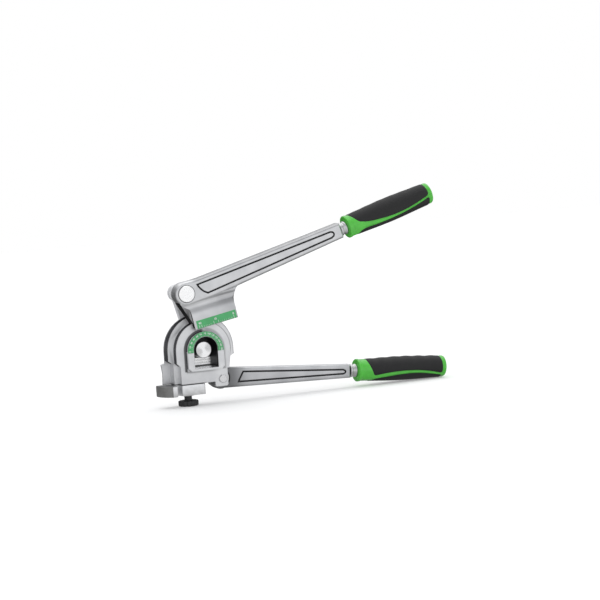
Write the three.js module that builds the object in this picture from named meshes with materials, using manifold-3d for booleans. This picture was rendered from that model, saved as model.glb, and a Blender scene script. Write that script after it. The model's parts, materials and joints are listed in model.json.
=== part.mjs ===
// Lever bender for three sizes of small tube. Three half-round formers are stacked in one head,
// a link swings round them, a long lever with the bending shoe hangs on the link, a second lever
// is pinned to the head, and a swivel hook under the head is locked by a thumb knob.
// Millimetres. X runs along the lower lever, Y to the back, Z up.
// The origin is the middle of the thumb knob's flat foot, so Z = 0 is the bench.
// Inside the model the head's centre axis is the reference, and heights count up and down from it.

import * as THREE from 'three';
import { mergeVertices } from 'three/addons/utils/BufferGeometryUtils.js';
import Module from 'manifold-3d';

const wasm = await Module();
wasm.setup();

// Clearances, and the amount by which a cut runs past the face that it opens
const seatGap = 0.3;
const runGap = 0.3;
const washerPlay = 0.15;
const overrun = 3;

// Number of sides of the round forms
const formerSides = 48;
const largeSides = 24;
const smallSides = 16;
const gripSides = 20;
const gripRings = 9;
const fluteSides = 8;
const curveSteps = 8;
const arcSteps = 24;

// Formers: the bend radius at the tube's centre line and the tube's diameter, front to back
const smallBend = 23.8;
const middleBend = 35.6;
const largeBend = 42.7;
const smallTube = 6.35;
const middleTube = 9.53;
const largeTube = 12.7;
const tubeSizes = [
  { bend: smallBend, tube: smallTube },
  { bend: middleBend, tube: middleTube },
  { bend: largeBend, tube: largeTube },
];
const tubePlay = 0.15;
const grooveSteps = 6;
const frontLand = 1.5;
const landWidth = 1.6;
const rearLand = 2.5;
const landShort = 0.8;
const floorInset = 0.2;
const legLap = 0.6;

// Head: the window, the front block, the base and the ears of the lower lever
const windowHalf = 15;
const windowRise = 1.3;
const windowSill = 21.6;
const windowWall = 5.5;
const bandHeight = 2.2;
const bandRelief = 0.8;
const bandCount = 3;
const bandPitchShare = 1.5;
const blockDrop = 24.5;
const blockChamfer = 4;
const rightStep = 8.8;
const leftStep = 11;
const baseTop = 14;
const baseDrop = 40;
const baseReach = 28.6;
const backPlateReach = 47;
const earLeft = 12;
const earDrop = 46.2;
const earThickness = 6.3;

// Centre pin
const centreHeadRadius = 10;
const centreHeadFace = 8;
const pinRadius = 6;
const ringThickness = 0.9;
const ringGrooveDepth = 1;
const ringProud = 2.4;
const pinTail = 1.2;
const washerRadius = 10;
const washerThickness = 1;

// Link between the centre pin and the upper pin
const linkLength = 71.8;
const linkLean = 15.25;
const linkThickness = 8;
const linkWaist = 7;
const linkFootRadius = 13;
const linkEyeRadius = 10.2;
const linkBossRadius = 9.8;
const bushWall = 1.8;

// Upper lever: the eye, the web down to the shoe, the beam
const eyeRadius = 14;
const eyeDepth = 22;
const upperHeadRadius = 10;
const upperHeadThickness = 2.8;
const upperHeadProud = 0.5;
const shoeClear = 0.8;
const shoeSideClear = 0.5;
const shoeLeft = -0.6;
const shoeRight = 55.5;
const webDrop = 22.7;
const webFillet = 4.8;
const webStartShares = [-0.8, -0.66];
const soleWall = 4;
const shoeLift = 10.9;
const beamInset = 2;
const beamDepth = 17;
const upperBeamAngle = 5.9;
const upperBeamLength = 215.6;
const upperBeamTall = 27.2;
const upperBeamSlim = 19;
const upperBeamDrop = 1.1;

// Lower lever
const lowerPinX = 22;
const lowerPinDrop = 37.2;
const lowerPinRadius = 3.9;
const lowerHeadRadius = 5;
const lowerHeadThickness = 1.6;
const rootRadius = 13.2;
const rootDepth = 14;
const rootClear = 0.6;
const lowerBeamLength = 172;
const lowerBeamTall = 25;
const lowerBeamSlim = 17;

// Panel groove on both faces of a beam
const panelWidth = 1.5;
const panelDepth = 0.9;
const upperPanelMargin = 4.9;
const upperPanelEnd = 9;
const upperPanelStartShare = 1.1;
const lowerPanelMargin = 5.8;
const lowerPanelEnd = 6;
const lowerPanelStartShare = 1.6;

// Ferrule, tang and grip of each lever
const ferruleLength = 8.9;
const ferruleRadius = 8.4;
const tangTall = 6;
const tangWide = 4.5;
const tangReach = 100;
const gripLength = 122;
const collarRadius = 14.2;
const collarLength = 4;
const waistRadius = 14;
const bellyRadius = 15.4;
const endRadius = 13.4;
const endRingLength = 3.4;
const padDepth = 2.6;
const stripeHalf = 1.3;
const sleeveLength = 16;

// Height of the side stripe above the grip's axis, as shares of the grip's length and of the
// belly radius. Each stripe starts at the sleeve and ends at the end ring.
const upperStripeShares = [[0.12, -0.36], [0.3, -0.62], [0.5, -0.72], [0.72, -0.56], [0.98, -0.2]];
const lowerStripeShares = [[0.12, -0.52], [0.3, -0.3], [0.52, -0.18], [0.76, -0.32], [0.98, -0.66]];

// Swivel hook, its screw and the knob
const hookX = -19.3;
const hookY = 22.3;
const hookThickness = 13.2;
const hookFront = 0.7;
const hookRight = 18.3;
const hookRear = 13;
const hookPocketPlay = 0.5;
const hookNose = 3;
const hookNoseReach = 1.1;
const hookOuter = 7;
const hookCurveShare = 2.2;
const screwRadius = 3;
const screwDepth = 12;
const screwHeadInset = 3;
const knobRadius = 12.2;
const knobThickness = 6.6;
const knobNeckRadius = 4.6;
const knobNeckLength = 5.6;
const knobFlutes = 12;
const knobFluteRadius = 1.3;
const hookWasherRadius = 7.5;

// Scale plates
const plateThickness = 0.5;
const plateProud = 0.25;
const arcMargin = 0.5;
const arcSill = 1.6;
const stripMargin = 3;
const stripHeight = 9.6;

const castAluminium = finish(0xb4b7ba, 0.42, 0.85);
const rootAluminium = finish(0x8d9093, 0.45, 0.85);
const brightSteel = finish(0xe4e5e6, 0.25, 0.95);
const zincSteel = finish(0xa9adb0, 0.35, 0.9);
const sinteredBronze = finish(0xa8834e, 0.5, 0.8);
const scaleGreen = finish(0x4fb368, 0.5, 0);
const gripGreen = finish(0x45b034, 0.45, 0);
const padRubber = finish(0x222223, 0.8, 0);
const knobBlack = finish(0x18181a, 0.55, 0);

function finish(color, roughness, metalness) {
  return new THREE.MeshStandardMaterial({ color, roughness, metalness });
}

// Closed mesh with shared corners, ready to be cut and joined
function solid(geometry) {
  const bare = geometry.clone();
  bare.deleteAttribute('normal');
  bare.deleteAttribute('uv');
  const merged = mergeVertices(bare);
  const index = merged.index.array;
  const triVerts = [];
  for (let i = 0; i < index.length; i += 3) {
    const [a, b, c] = [index[i], index[i + 1], index[i + 2]];
    if (a !== b && b !== c && c !== a) {
      triVerts.push(a, b, c);
    }
  }
  return new wasm.Manifold(new wasm.Mesh({
    numProp: 3,
    vertProperties: new Float32Array(merged.attributes.position.array),
    triVerts: new Uint32Array(triVerts),
  }));
}

function box(x0, x1, y0, y1, z0, z1) {
  const geometry = new THREE.BoxGeometry(x1 - x0, y1 - y0, z1 - z0);
  return solid(geometry.translate((x0 + x1) / 2, (y0 + y1) / 2, (z0 + z1) / 2));
}

function rodX(radius, x0, x1, y, z, sides = largeSides) {
  const geometry = new THREE.CylinderGeometry(radius, radius, x1 - x0, sides);
  return solid(geometry.rotateZ(-Math.PI / 2).translate((x0 + x1) / 2, y, z));
}

function rodY(radius, y0, y1, x = 0, z = 0, sides = largeSides) {
  const geometry = new THREE.CylinderGeometry(radius, radius, y1 - y0, sides);
  return solid(geometry.translate(x, (y0 + y1) / 2, z));
}

function rodZ(radius, z0, z1, x = 0, y = 0, sides = largeSides) {
  const geometry = new THREE.CylinderGeometry(radius, radius, z1 - z0, sides);
  return solid(geometry.rotateX(Math.PI / 2).translate(x, y, (z0 + z1) / 2));
}

function outline(points) {
  return new THREE.Shape(points.map(([x, y]) => new THREE.Vector2(x, y)));
}

// Slab of an outline drawn in X and Z, between two depths
function slabY(shape, y0, y1, curveSegments = curveSteps) {
  const geometry = new THREE.ExtrudeGeometry(shape, {
    depth: y1 - y0,
    bevelEnabled: false,
    curveSegments,
  });
  return solid(geometry.rotateX(Math.PI / 2).translate(0, y1, 0));
}

// Slab of an outline drawn in X and Y, between two heights
function slabZ(shape, z0, z1, curveSegments = curveSteps) {
  const geometry = new THREE.ExtrudeGeometry(shape, {
    depth: z1 - z0,
    bevelEnabled: false,
    curveSegments,
  });
  return solid(geometry.translate(0, 0, z0));
}

function turned(points, sides) {
  return solid(new THREE.LatheGeometry(points.map(([r, y]) => new THREE.Vector2(r, y)), sides));
}

function joined(first, ...others) {
  return others.reduce((sum, piece) => sum.add(piece), first);
}

function cut(first, ...others) {
  return others.reduce((rest, piece) => rest.subtract(piece), first);
}

function place(parent, name, piece, material) {
  const { vertProperties, triVerts } = piece.getMesh();
  const geometry = new THREE.BufferGeometry();
  geometry.setAttribute('position', new THREE.BufferAttribute(new Float32Array(vertProperties), 3));
  geometry.setIndex(new THREE.BufferAttribute(new Uint32Array(triVerts), 1));
  geometry.computeVertexNormals();
  const mesh = new THREE.Mesh(geometry, material);
  mesh.name = name;
  parent.add(mesh);
}

// Grooves of the former stack, each with its depth, from the tube sizes and the lands between
function stackGrooves() {
  let front = frontLand;
  return tubeSizes.map(({ bend, tube }) => {
    const radius = tube / 2 + tubePlay;
    const half = Math.sqrt(radius ** 2 - landShort ** 2);
    const rear = front + 2 * half;
    const groove = {
      bend,
      radius,
      half,
      rear,
      front,
      middle: front + half,
      land: bend - landShort,
      floor: bend - radius - floorInset,
    };
    front = rear + landWidth;
    return groove;
  });
}

const grooves = stackGrooves();
const [smallGroove, middleGroove, largeGroove] = grooves;
const stackDepth = largeGroove.rear + rearLand;
const blockDepth = smallGroove.rear;
const windowDepth = stackDepth - windowWall;
const reach = 2 * linkLength;

// Edge of the former stack as radius and depth, front to back
function stackEdge() {
  const edge = [[smallGroove.land, 0]];
  let lead = 0;
  for (const { bend, radius, half, middle, land, front, rear } of grooves) {
    const open = Math.asin(half / radius);
    if (lead > 0) {
      edge.push([land, lead]);
    }
    edge.push([land, front]);
    for (let i = 1; i < grooveSteps; i += 1) {
      const angle = open * (2 * i / grooveSteps - 1);
      edge.push([bend - radius * Math.cos(angle), middle + radius * Math.sin(angle)]);
    }
    edge.push([land, rear]);
    lead = rear;
  }
  edge.push([largeGroove.land, stackDepth]);
  return edge;
}

function formerTop() {
  const whole = turned([[0, 0], ...stackEdge(), [0, stackDepth]], formerSides);
  return whole.intersect(box(-reach, reach, -overrun, stackDepth + overrun, -2 * legLap, reach));
}

// Straight stretch of the formers below the centre, trimmed where each land ends
function formerLegs() {
  const edge = stackEdge();
  const left = edge.map(([r, y]) => [-r, y]).reverse();
  const legs = slabZ(outline([...edge, ...left]), -blockDrop, -legLap);
  const landDrop = middleGroove.land - middleGroove.floor;
  const rightTrim = outline([
    [reach, -rightStep],
    [largeGroove.land, -rightStep],
    [middleGroove.land, -rightStep - landDrop],
    [middleGroove.land, -reach],
    [reach, -reach],
  ]);
  const middleLeft = -middleGroove.land - landShort;
  const middleTrim = outline([
    [middleLeft, -baseTop],
    [middleLeft, -reach],
    [-middleGroove.floor, -reach],
    [-middleGroove.floor, -baseTop - landDrop],
    [-middleGroove.land, -baseTop],
  ]);
  const largeTrim = outline([
    [-reach, -leftStep],
    [-reach, -reach],
    [-largeGroove.floor, -reach],
    [-largeGroove.floor, -leftStep - landDrop],
    [-largeGroove.land, -leftStep],
  ]);
  return cut(
    legs,
    slabY(rightTrim, middleGroove.rear, stackDepth + overrun),
    slabY(middleTrim, -overrun, middleGroove.rear),
    slabY(largeTrim, blockDepth, largeGroove.rear),
    frontCorner(1),
    frontCorner(-1),
  );
}

// Chamfer at a lower corner of the front block
function frontCorner(side) {
  const edge = smallGroove.land;
  const corner = outline([
    [side * edge, -blockDrop + blockChamfer],
    [side * (edge + overrun), -blockDrop + blockChamfer],
    [side * (edge + overrun), -blockDrop - overrun],
    [side * (edge - blockChamfer), -blockDrop - overrun],
    [side * (edge - blockChamfer), -blockDrop],
  ]);
  return slabY(corner, -overrun, blockDepth);
}

// Solid foot of the head, behind the front block
function headBase() {
  const plan = outline([
    [-middleGroove.floor, blockDepth],
    [baseReach, blockDepth],
    [baseReach, stackDepth],
    [-largeGroove.floor, stackDepth],
    [-largeGroove.floor, middleGroove.rear],
    [-middleGroove.floor, middleGroove.rear],
  ]);
  const backPlate = outline([
    [-largeGroove.floor, -baseTop],
    [-largeGroove.land, -baseTop],
    [-backPlateReach, -baseTop - landWidth],
    [-backPlateReach + landWidth, -(baseTop + baseDrop) / 2],
    [-backPlateReach + landShort, -baseDrop],
    [-largeGroove.floor, -baseDrop],
  ]);
  return slabZ(plan, -baseDrop, -baseTop).add(slabY(backPlate, largeGroove.rear, stackDepth));
}

const rootFront = blockDepth + earThickness + washerThickness + 2 * washerPlay;
const rootRear = rootFront + rootDepth;
const earRearFace = rootRear + washerThickness + 2 * washerPlay;
const slotFront = blockDepth + earThickness;

// Ears that hold the lower lever's pin, and the slot between them
function ears() {
  const profile = outline([
    [earLeft, -baseDrop + overrun],
    [earLeft, -earDrop + landWidth],
    [earLeft + landWidth, -earDrop],
    [baseReach - landWidth, -earDrop],
    [baseReach, -earDrop + landWidth],
    [baseReach, -baseDrop + overrun],
  ]);
  return slabY(profile, blockDepth, slotFront).add(slabY(profile, earRearFace, stackDepth));
}

function leverSlot() {
  const radius = rootRadius + rootClear;
  const disc = rodY(radius, slotFront, earRearFace, lowerPinX, -lowerPinDrop);
  const mouth = box(
    lowerPinX, reach, slotFront, earRearFace, -lowerPinDrop - radius, -lowerPinDrop + radius,
  );
  return disc.add(mouth);
}

// Arch-shaped opening outline: a half circle over straight sides
function arch(half, rise, sill) {
  const shape = new THREE.Shape();
  shape.moveTo(-half, -sill);
  shape.lineTo(half, -sill);
  shape.lineTo(half, rise);
  shape.absarc(0, rise, half, 0, Math.PI, false);
  shape.closePath();
  return shape;
}

// Raised bands on the back wall, seen through the window under the pin
function windowBands() {
  const bands = [];
  for (let i = 0; i < bandCount; i += 1) {
    const top = -centreHeadRadius - bandHeight / 2 - i * bandPitchShare * bandHeight;
    bands.push(box(
      -windowHalf, windowHalf, windowDepth - bandRelief, windowDepth + bandRelief,
      top - bandHeight, top,
    ));
  }
  return bands;
}

function scaleArcShape(grow) {
  const outer = smallGroove.land - arcMargin + grow;
  const inner = windowHalf + arcMargin - grow;
  const shape = new THREE.Shape();
  shape.moveTo(outer, -arcSill - grow);
  shape.lineTo(outer, 0);
  shape.absarc(0, 0, outer, 0, Math.PI, false);
  shape.lineTo(-outer, -arcSill - grow);
  shape.lineTo(-inner, -arcSill - grow);
  shape.lineTo(-inner, windowRise);
  shape.absarc(0, windowRise, inner, Math.PI, 0, true);
  shape.lineTo(inner, -arcSill - grow);
  shape.closePath();
  return shape;
}

const plateRear = plateThickness - plateProud;

function formingHead() {
  const cast = joined(formerTop(), formerLegs(), headBase(), ears());
  const opened = cut(
    cast,
    slabY(arch(windowHalf, windowRise, windowSill), -overrun, windowDepth, arcSteps),
    leverSlot(),
    rodY(pinRadius + seatGap, windowDepth - overrun, stackDepth + overrun),
    rodY(lowerPinRadius + seatGap, -overrun, stackDepth + overrun, lowerPinX, -lowerPinDrop, smallSides),
    rodZ(screwRadius + seatGap, -baseDrop - overrun, -baseDrop + screwDepth + seatGap, hookX, hookY,
      smallSides),
    slabY(scaleArcShape(seatGap), -overrun, plateRear + seatGap, arcSteps),
  );
  return joined(opened, ...windowBands());
}

// Washer or ring round an axis along Y
function washerY(inner, outer, y0, y1, x, z, sides = largeSides) {
  return rodY(outer, y0, y1, x, z, sides).subtract(
    rodY(inner, y0 - overrun, y1 + overrun, x, z, sides),
  );
}

// Pin along Y with a wide head in front and a groove for a snap ring at the back
function headedPin({ x, z, headRadius, headFront, shankFront, radius, ringFront, sides }) {
  const ringRear = ringFront + ringThickness;
  const rear = ringRear + pinTail;
  const inHead = (headFront + shankFront) / 2;
  return joined(
    rodY(headRadius, headFront, shankFront, x, z, largeSides),
    rodY(radius, inHead, ringFront - seatGap / 2, x, z, sides),
    rodY(radius - ringGrooveDepth, inHead, rear, x, z, sides),
    rodY(radius, ringRear + seatGap / 2, rear, x, z, sides),
  );
}

// Open snap ring that sits in a pin's groove
function snapRing({ x, z, radius, ringFront, sides }) {
  const inner = radius - ringGrooveDepth + seatGap / 2;
  const outer = radius + ringProud;
  const ring = washerY(inner, outer, ringFront, ringFront + ringThickness, x, z, sides);
  const mouth = box(
    x - inner / 2, x + inner / 2, ringFront - overrun, ringFront + ringThickness + overrun,
    z - outer - overrun, z,
  );
  return ring.subtract(mouth);
}

const linkFront = stackDepth + runGap;
const linkRear = linkFront + linkThickness;
const upperPinX = -linkLength * Math.sin(THREE.MathUtils.degToRad(linkLean));
const upperPinZ = linkLength * Math.cos(THREE.MathUtils.degToRad(linkLean));

const centrePinSpec = {
  x: 0,
  z: 0,
  headRadius: centreHeadRadius,
  headFront: centreHeadFace,
  shankFront: windowDepth - seatGap,
  radius: pinRadius,
  ringFront: linkRear + washerThickness + 3 * washerPlay,
  sides: largeSides,
};

const upperPinSpec = {
  x: upperPinX,
  z: upperPinZ,
  headRadius: upperHeadRadius,
  headFront: -upperHeadProud,
  shankFront: upperHeadThickness - upperHeadProud,
  radius: pinRadius,
  ringFront: linkRear + washerPlay,
  sides: largeSides,
};

const lowerPinSpec = {
  x: lowerPinX,
  z: -lowerPinDrop,
  headRadius: lowerHeadRadius,
  headFront: blockDepth - lowerHeadThickness,
  shankFront: blockDepth - seatGap,
  radius: lowerPinRadius,
  ringFront: stackDepth + washerPlay,
  sides: smallSides,
};

function addHead(tool) {
  place(tool, 'forming_head', formingHead(), castAluminium);
  place(tool, 'scale_arc', slabY(scaleArcShape(0), -plateProud, plateRear, arcSteps), scaleGreen);
  place(tool, 'centre_pin', headedPin(centrePinSpec), brightSteel);
  place(tool, 'centre_washer', washerY(
    pinRadius + seatGap, washerRadius, linkRear + washerPlay, linkRear + washerPlay + washerThickness,
    0, 0,
  ), zincSteel);
  place(tool, 'centre_ring', snapRing(centrePinSpec), zincSteel);
  place(tool, 'lower_pin', headedPin(lowerPinSpec), brightSteel);
  place(tool, 'lower_ring', snapRing(lowerPinSpec), zincSteel);
  const washers = [
    ['front', slotFront + washerPlay],
    ['rear', rootRear + washerPlay],
  ];
  for (const [name, y] of washers) {
    place(tool, `lower_washer_${name}`, washerY(
      lowerPinRadius + seatGap, washerRadius, y, y + washerThickness, lowerPinX, -lowerPinDrop,
    ), zincSteel);
  }
}

// Bush along Y between a pin and the piece that turns on it
function bush(radius, y0, y1, x, z, sides) {
  return washerY(radius + runGap, radius + runGap + bushWall, y0, y1, x, z, sides);
}

function linkSolid() {
  const along = new THREE.Vector2(upperPinX, upperPinZ).normalize();
  const across = new THREE.Vector2(-along.y, along.x).multiplyScalar(linkWaist);
  const bar = outline([
    [across.x, across.y],
    [-across.x, -across.y],
    [upperPinX - across.x, upperPinZ - across.y],
    [upperPinX + across.x, upperPinZ + across.y],
  ]);
  const shape = joined(
    slabY(bar, linkFront, linkRear),
    rodY(linkFootRadius, linkFront, linkRear),
    rodY(linkEyeRadius, linkFront, linkRear, upperPinX, upperPinZ),
    rodY(linkBossRadius, eyeDepth + runGap, linkRear, upperPinX, upperPinZ),
  );
  return cut(
    shape,
    rodY(pinRadius + runGap + bushWall + seatGap, linkFront - overrun, linkRear + overrun),
    rodY(pinRadius + seatGap, 0, linkRear + overrun, upperPinX, upperPinZ),
  );
}

function addLink(tool) {
  place(tool, 'link', linkSolid(), castAluminium);
  place(tool, 'link_bush', bush(
    pinRadius, linkFront + washerPlay, linkRear - washerPlay, 0, 0, largeSides,
  ), sinteredBronze);
  place(tool, 'upper_pin', headedPin(upperPinSpec), brightSteel);
  place(tool, 'upper_ring', snapRing(upperPinSpec), zincSteel);
}

// Beam outline along X from a tall root to a slim end, centred on the axis
function beamOutline(start, end, tall, slim) {
  return outline([
    [start, -tall / 2],
    [end, -slim / 2],
    [end, slim / 2],
    [start, tall / 2],
  ]);
}

// Closed groove that frames the flat panel of a beam
function panelGroove({ panelStart, panelEnd, panelMargin, end, tall, slim }) {
  const slope = (slim - tall) / 2 / (end - panelStart);
  const edge = (x, margin) => tall / 2 - margin + slope * (x - panelStart);
  const frame = (grow) => {
    const [x0, x1] = [panelStart - grow, end - panelEnd + grow];
    const margin = panelMargin - grow;
    return [
      [x0 + edge(x0, margin), -edge(x0, margin)],
      [x1, -edge(x1, margin)],
      [x1, edge(x1, margin)],
      [x0, edge(x0, margin)],
    ];
  };
  const shape = outline(frame(panelWidth));
  shape.holes.push(new THREE.Path(frame(0).map(([x, y]) => new THREE.Vector2(x, y))));
  return shape;
}

// Lever beam with its panel groove front and back and a tang for the grip
function beam(spec) {
  const { start, end, tall, slim, y0, y1 } = spec;
  const groove = panelGroove(spec);
  const middle = (y0 + y1) / 2;
  const body = cut(
    slabY(beamOutline(start, end, tall, slim), y0, y1),
    slabY(groove, y0 - overrun, y0 + panelDepth),
    slabY(groove, y1 - panelDepth, y1 + overrun),
  );
  const tang = box(
    end - overrun, end + tangReach, middle - tangWide, middle + tangWide, -tangTall, tangTall,
  );
  return body.add(tang);
}

function turnedOn(piece, degrees) {
  return piece.rotate([0, degrees, 0]);
}

// Underside of the shoe: a flat step with a half-round groove over each former
function shoeUnderside() {
  const cutters = [];
  let front = -overrun;
  for (const { bend, radius, middle, rear } of grooves) {
    const height = bend - upperPinZ;
    cutters.push(box(-reach, reach, front, stackDepth + overrun, -reach, height + shoeClear));
    cutters.push(rodX(radius, -reach, reach, middle, height, smallSides));
    front = rear - shoeSideClear;
  }
  return joined(...cutters);
}

const shoeRear = stackDepth - seatGap;
const shoeBottom = smallGroove.bend + shoeClear - upperPinZ;
const soleTop = largeGroove.bend + largeGroove.radius + soleWall - upperPinZ;

// Web between the eye, the beam and the shoe, seen from the front
function webOutline() {
  const beamUnder = upperBeamTall / 2;
  return outline([
    webStartShares.map((share) => share * eyeRadius),
    [shoeLeft + landWidth, shoeBottom + stripHeight - stripMargin],
    [shoeLeft, shoeBottom],
    [shoeRight, shoeBottom],
    [shoeRight + landWidth / 2, shoeBottom + stripHeight + stripMargin],
    [shoeRight + landWidth, -webDrop + landWidth],
    [shoeRight + webFillet, webFillet - beamUnder],
    [shoeRight + 2 * webFillet, 2 * webFillet - beamUnder],
    [shoeRight + 2 * webFillet, 0],
    [0, 0],
  ]);
}

const upperBeamSpec = {
  start: 0,
  panelStart: upperPanelStartShare * eyeRadius,
  panelEnd: upperPanelEnd,
  panelMargin: upperPanelMargin,
  end: upperBeamLength,
  tall: upperBeamTall,
  slim: upperBeamSlim,
  y0: beamInset,
  y1: beamInset + beamDepth,
};

// Upper lever in its own frame: the upper pin is the origin and the shoe's sole is level
function upperLever() {
  const sole = box(shoeLeft, shoeRight, 0, shoeRear, shoeBottom, soleTop);
  const cast = joined(
    rodY(eyeRadius, 0, eyeDepth),
    slabY(webOutline(), 0, eyeDepth),
    sole,
    turnedOn(beam(upperBeamSpec).translate([0, 0, -upperBeamDrop]), -upperBeamAngle),
  );
  const strip = box(
    shoeLeft + stripMargin - seatGap, shoeRight - stripMargin / 2 + seatGap, -overrun,
    plateRear + seatGap, shoeBottom + arcMargin - seatGap,
    shoeBottom + arcMargin + stripHeight + seatGap,
  );
  return cut(
    cast,
    shoeUnderside(),
    rodY(pinRadius + runGap + bushWall + seatGap, -overrun, eyeDepth + overrun),
    rodY(upperHeadRadius + runGap, -overrun, upperHeadThickness - upperHeadProud + runGap),
    strip,
  );
}

function ferrule(middle) {
  const ring = rodX(ferruleRadius, 0, ferruleLength, middle, 0, gripSides);
  const hole = box(
    -overrun, ferruleLength + overrun, middle - tangWide - seatGap, middle + tangWide + seatGap,
    -tangTall - seatGap, tangTall + seatGap,
  );
  return ring.subtract(hole);
}

// Radius of the grip at a share of its length
function gripRadius(share) {
  const at = share * gripLength;
  if (at <= collarLength) {
    return collarRadius;
  }
  if (at >= gripLength - endRingLength) {
    return endRadius;
  }
  const swell = Math.sin(Math.PI * share) ** 2;
  return waistRadius + (bellyRadius - waistRadius) * swell;
}

// Round grip form along X, drawn in by an amount all round
function gripForm(inset) {
  const stations = [0, collarLength, collarLength + seatGap];
  for (let i = 1; i < gripRings; i += 1) {
    stations.push(collarLength + (gripLength - endRingLength - collarLength) * i / gripRings);
  }
  stations.push(gripLength - endRingLength - seatGap, gripLength - endRingLength, gripLength);
  const profile = stations.map((x) => [gripRadius(x / gripLength) - inset, x]);
  const form = [[0, 0], ...profile, [0, gripLength]];
  const geometry = new THREE.LatheGeometry(form.map(([r, x]) => new THREE.Vector2(r, x)), gripSides);
  return solid(geometry.rotateZ(-Math.PI / 2));
}

// Everything above or below the stripe, from the sleeve to the end ring
function padRegion(shares, side) {
  const spline = new THREE.SplineCurve(
    shares.map(([along, up]) => new THREE.Vector2(along * gripLength, up * bellyRadius)),
  );
  const gap = side * (stripeHalf + seatGap);
  const points = spline.getPoints(gripRings).map(({ x, y }) => [x, y + gap]);
  const rear = gripLength - endRingLength - seatGap;
  const front = sleeveLength + side * collarLength;
  const inside = points.filter(([x]) => x > front && x < rear);
  const far = side * 2 * collarRadius;
  const shape = outline([
    [front, far],
    [front + collarLength, inside[0][1]],
    ...inside.slice(1),
    [rear, inside[inside.length - 1][1]],
    [rear, far],
  ]);
  return slabY(shape, -2 * collarRadius, 2 * collarRadius);
}

function gripPieces(shares) {
  const outer = gripForm(0);
  const inner = gripForm(padDepth);
  const hollow = outer.subtract(gripForm(padDepth - seatGap));
  const pads = [1, -1].map((side) => hollow.intersect(padRegion(shares, side)));
  const wider = [1, -1].map((side) => padRegion(shares, side));
  const shell = cut(outer, ...wider);
  const tangHole = box(
    -overrun, tangReach - ferruleLength + seatGap, -tangWide - seatGap, tangWide + seatGap,
    -tangTall - seatGap, tangTall + seatGap,
  );
  const core = joined(inner, shell).subtract(tangHole);
  return { core, pads };
}

// Ferrule, green core and two rubber pads at the end of a lever's beam
function addGrip(lever, prefix, end, drop, angle, middle, shares) {
  const slope = new THREE.Group();
  slope.rotation.y = -THREE.MathUtils.degToRad(angle);
  lever.add(slope);
  const group = new THREE.Group();
  group.position.set(end, 0, -drop);
  slope.add(group);
  place(group, `${prefix}_ferrule`, ferrule(middle).translate([seatGap, 0, 0]), zincSteel);
  const { core, pads } = gripPieces(shares);
  const shift = [ferruleLength + 2 * seatGap, middle, 0];
  place(group, `${prefix}_grip_core`, core.translate(shift), gripGreen);
  place(group, `${prefix}_pad_top`, pads[0].translate(shift), padRubber);
  place(group, `${prefix}_pad_bottom`, pads[1].translate(shift), padRubber);
}

function addUpperLever(tool) {
  const lever = new THREE.Group();
  lever.position.set(upperPinX, 0, upperPinZ);
  lever.rotation.y = -THREE.MathUtils.degToRad(shoeLift);
  tool.add(lever);
  place(lever, 'upper_lever', upperLever(), castAluminium);
  place(lever, 'upper_bush', bush(
    pinRadius, upperHeadThickness + runGap, eyeDepth - washerPlay, 0, 0, largeSides,
  ), sinteredBronze);
  const strip = box(
    shoeLeft + stripMargin, shoeRight - stripMargin / 2, -plateProud, plateRear,
    shoeBottom + arcMargin, shoeBottom + arcMargin + stripHeight,
  );
  place(lever, 'shoe_scale', strip, scaleGreen);
  const middle = beamInset + beamDepth / 2;
  addGrip(
    lever, 'upper', upperBeamLength, upperBeamDrop, upperBeamAngle, middle, upperStripeShares,
  );
}

const hookTop = -baseDrop - seatGap;
const hookBottom = hookTop - hookThickness;
const hookWasherBottom = hookBottom - washerPlay - washerThickness;
const knobTop = hookWasherBottom - knobNeckLength - washerPlay;
const knobFoot = knobTop - knobThickness;

// The lower lever leans down until the grip's end ring reaches the bench
const ringReach = lowerBeamLength + ferruleLength + gripLength;
const lowerLean = Math.asin((-knobFoot - lowerPinDrop - endRadius) / ringReach);

function lowerLever() {
  const spec = {
    start: 0,
    panelStart: lowerPanelStartShare * rootRadius,
    panelEnd: lowerPanelEnd,
    panelMargin: lowerPanelMargin,
    end: lowerBeamLength,
    tall: lowerBeamTall,
    slim: lowerBeamSlim,
    y0: rootFront,
    y1: rootRear,
  };
  return cut(
    joined(rodY(rootRadius, rootFront, rootRear), beam(spec)),
    rodY(lowerPinRadius + runGap + bushWall + seatGap, -overrun, stackDepth, 0, 0, smallSides),
  );
}

function addLowerLever(tool) {
  const lever = new THREE.Group();
  lever.position.set(lowerPinX, 0, -lowerPinDrop);
  lever.rotation.y = lowerLean;
  tool.add(lever);
  place(lever, 'lower_lever', lowerLever(), rootAluminium);
  place(lever, 'lower_bush', bush(
    lowerPinRadius, rootFront + washerPlay, rootRear - washerPlay, 0, 0, smallSides,
  ), sinteredBronze);
  const middle = (rootFront + rootRear) / 2;
  addGrip(lever, 'lower', lowerBeamLength, 0, 0, middle, lowerStripeShares);
}

// Plan of the swivel hook: a plate round the screw and a finger that curls round the middle
// former's straight leg
function hookPlan() {
  const pocket = middleGroove.radius + hookPocketPlay;
  const [px, py] = [-middleGroove.bend, middleGroove.middle];
  const front = blockDepth + hookFront;
  const rear = hookY + hookRear;
  const noseFront = py - pocket - hookNose;
  const bodyLeft = px + pocket;
  const noseRight = px - hookNoseReach;
  const shape = new THREE.Shape();
  shape.moveTo(bodyLeft, front);
  shape.lineTo(hookX + hookRight, front);
  shape.lineTo(hookX + hookRight, rear);
  shape.lineTo(px - pocket - 2 * hookOuter, rear);
  shape.quadraticCurveTo(px - pocket - hookCurveShare * hookOuter, py, px - pocket - hookNose / 2, noseFront);
  shape.lineTo(noseRight, noseFront);
  shape.lineTo(noseRight, py - pocket);
  shape.absarc(px, py, pocket, -Math.PI / 2 - hookNoseReach / pocket, 0, true);
  shape.closePath();
  return shape;
}

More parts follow.
